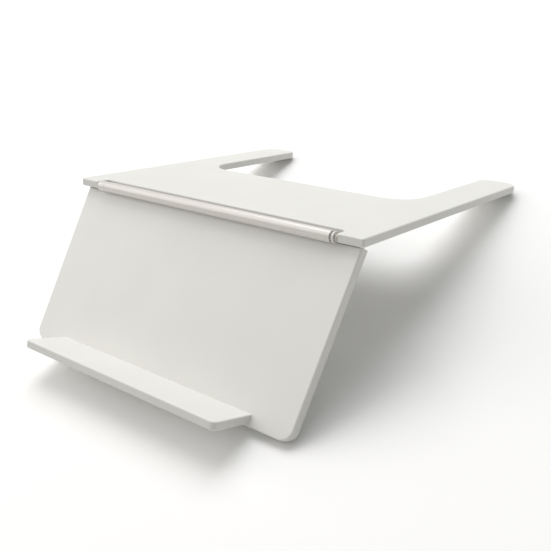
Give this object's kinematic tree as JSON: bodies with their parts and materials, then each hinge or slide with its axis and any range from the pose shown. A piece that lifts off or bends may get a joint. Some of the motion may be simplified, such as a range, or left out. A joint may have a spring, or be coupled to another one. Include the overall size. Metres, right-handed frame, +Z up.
{
  "type": "laptop stand",
  "caption": "Folding laptop stand: a white panel with a ledge, hinged by a tube to a U-shaped leg board that folds out behind it",
  "frame": {"origin": "on the table under the middle of the bounding box, the stand standing on its pads with the panel and the leg board 120 degrees apart", "axes": "+X along the hinge to the right as seen from the ledge side, +Y from the ledge towards the arm tips, +Z up"},
  "size_m": [0.4, 0.525, 0.1414],
  "materials": {
    "white_lacquer": "satin white lacquer over fibreboard",
    "white_tube": "satin white powder coat on aluminium",
    "zinc_steel": "zinc plated",
    "dark_steel": "blackened",
    "spring_steel": "bright",
    "pin_steel": "ground",
    "plug_alloy": "turned",
    "washer_nylon": "natural nylon",
    "bush_brass": "turned",
    "dowel_beech": "plain beech",
    "pad_rubber": "matt grey"
  },
  "bodies": {
    "panel": {"front_panel": "white_lacquer", "ledge": "white_lacquer", "hinge_tube": "white_tube", "fin_screws": "zinc_steel", "ledge_screws": "zinc_steel", "ledge_dowels": "dowel_beech", "roll_pins": "spring_steel", "left_collar": "white_tube", "right_ring": "white_tube", "left_tube_plug": "plug_alloy", "right_tube_plug": "plug_alloy", "left_friction_clip": "spring_steel", "right_friction_clip": "spring_steel", "panel_pads": "pad_rubber"},
    "leg": {"leg_board": "white_lacquer", "left_hinge_pin": "pin_steel", "right_hinge_pin": "pin_steel", "left_retainer": "spring_steel", "right_retainer": "spring_steel", "left_thrust_washer": "washer_nylon", "right_thrust_washer": "washer_nylon", "left_ear_bush": "bush_brass", "right_ear_bush": "bush_brass", "ear_set_screws": "dark_steel", "left_arm_pad": "pad_rubber", "right_arm_pad": "pad_rubber"}
  },
  "joints": [
    {"name": "leg_fold", "type": "hinge", "parent": "panel", "child": "leg", "pos_m": [0, -0.0782, 0.13542], "axis": [1, 0, 0], "range_deg": [-8, 240]}
  ]
}
